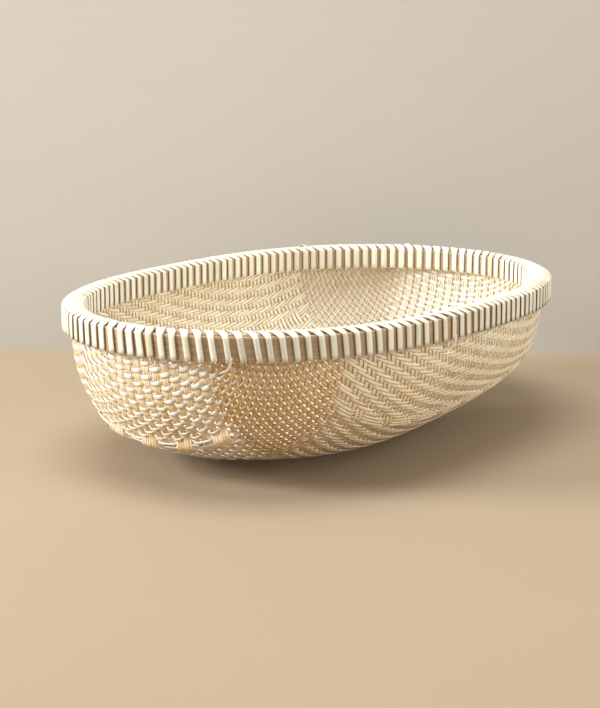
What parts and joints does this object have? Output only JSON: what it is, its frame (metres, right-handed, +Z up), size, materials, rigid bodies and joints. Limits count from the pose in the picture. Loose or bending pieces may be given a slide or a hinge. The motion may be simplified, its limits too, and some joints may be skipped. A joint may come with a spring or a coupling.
{
  "type": "winnowing basket",
  "caption": "Oval plaited bamboo winnowing basket: a shallow woven bowl held between two bent hoops, with a cane lashing wound round its rim.",
  "frame": {"origin": "centre of the resting face on the underside, below the middle of the rim oval", "axes": "+X along the rim's long axis, +Y along its short axis, +Z up, out of the open mouth"},
  "size_m": [0.5014, 0.329, 0.1276],
  "materials": {
    "mat": "satin",
    "hoop": "satin",
    "core": "satin",
    "lashing": "satin"
  },
  "bodies": {
    "root": {"woven_bowl": "mat", "outer_hoop": "hoop", "inner_hoop": "hoop", "rim_core": "core", "lashing_1": "lashing", "lashing_2": "lashing", "lashing_3": "lashing", "lashing_4": "lashing", "lashing_5": "lashing", "lashing_6": "lashing"}
  },
  "joints": []
}
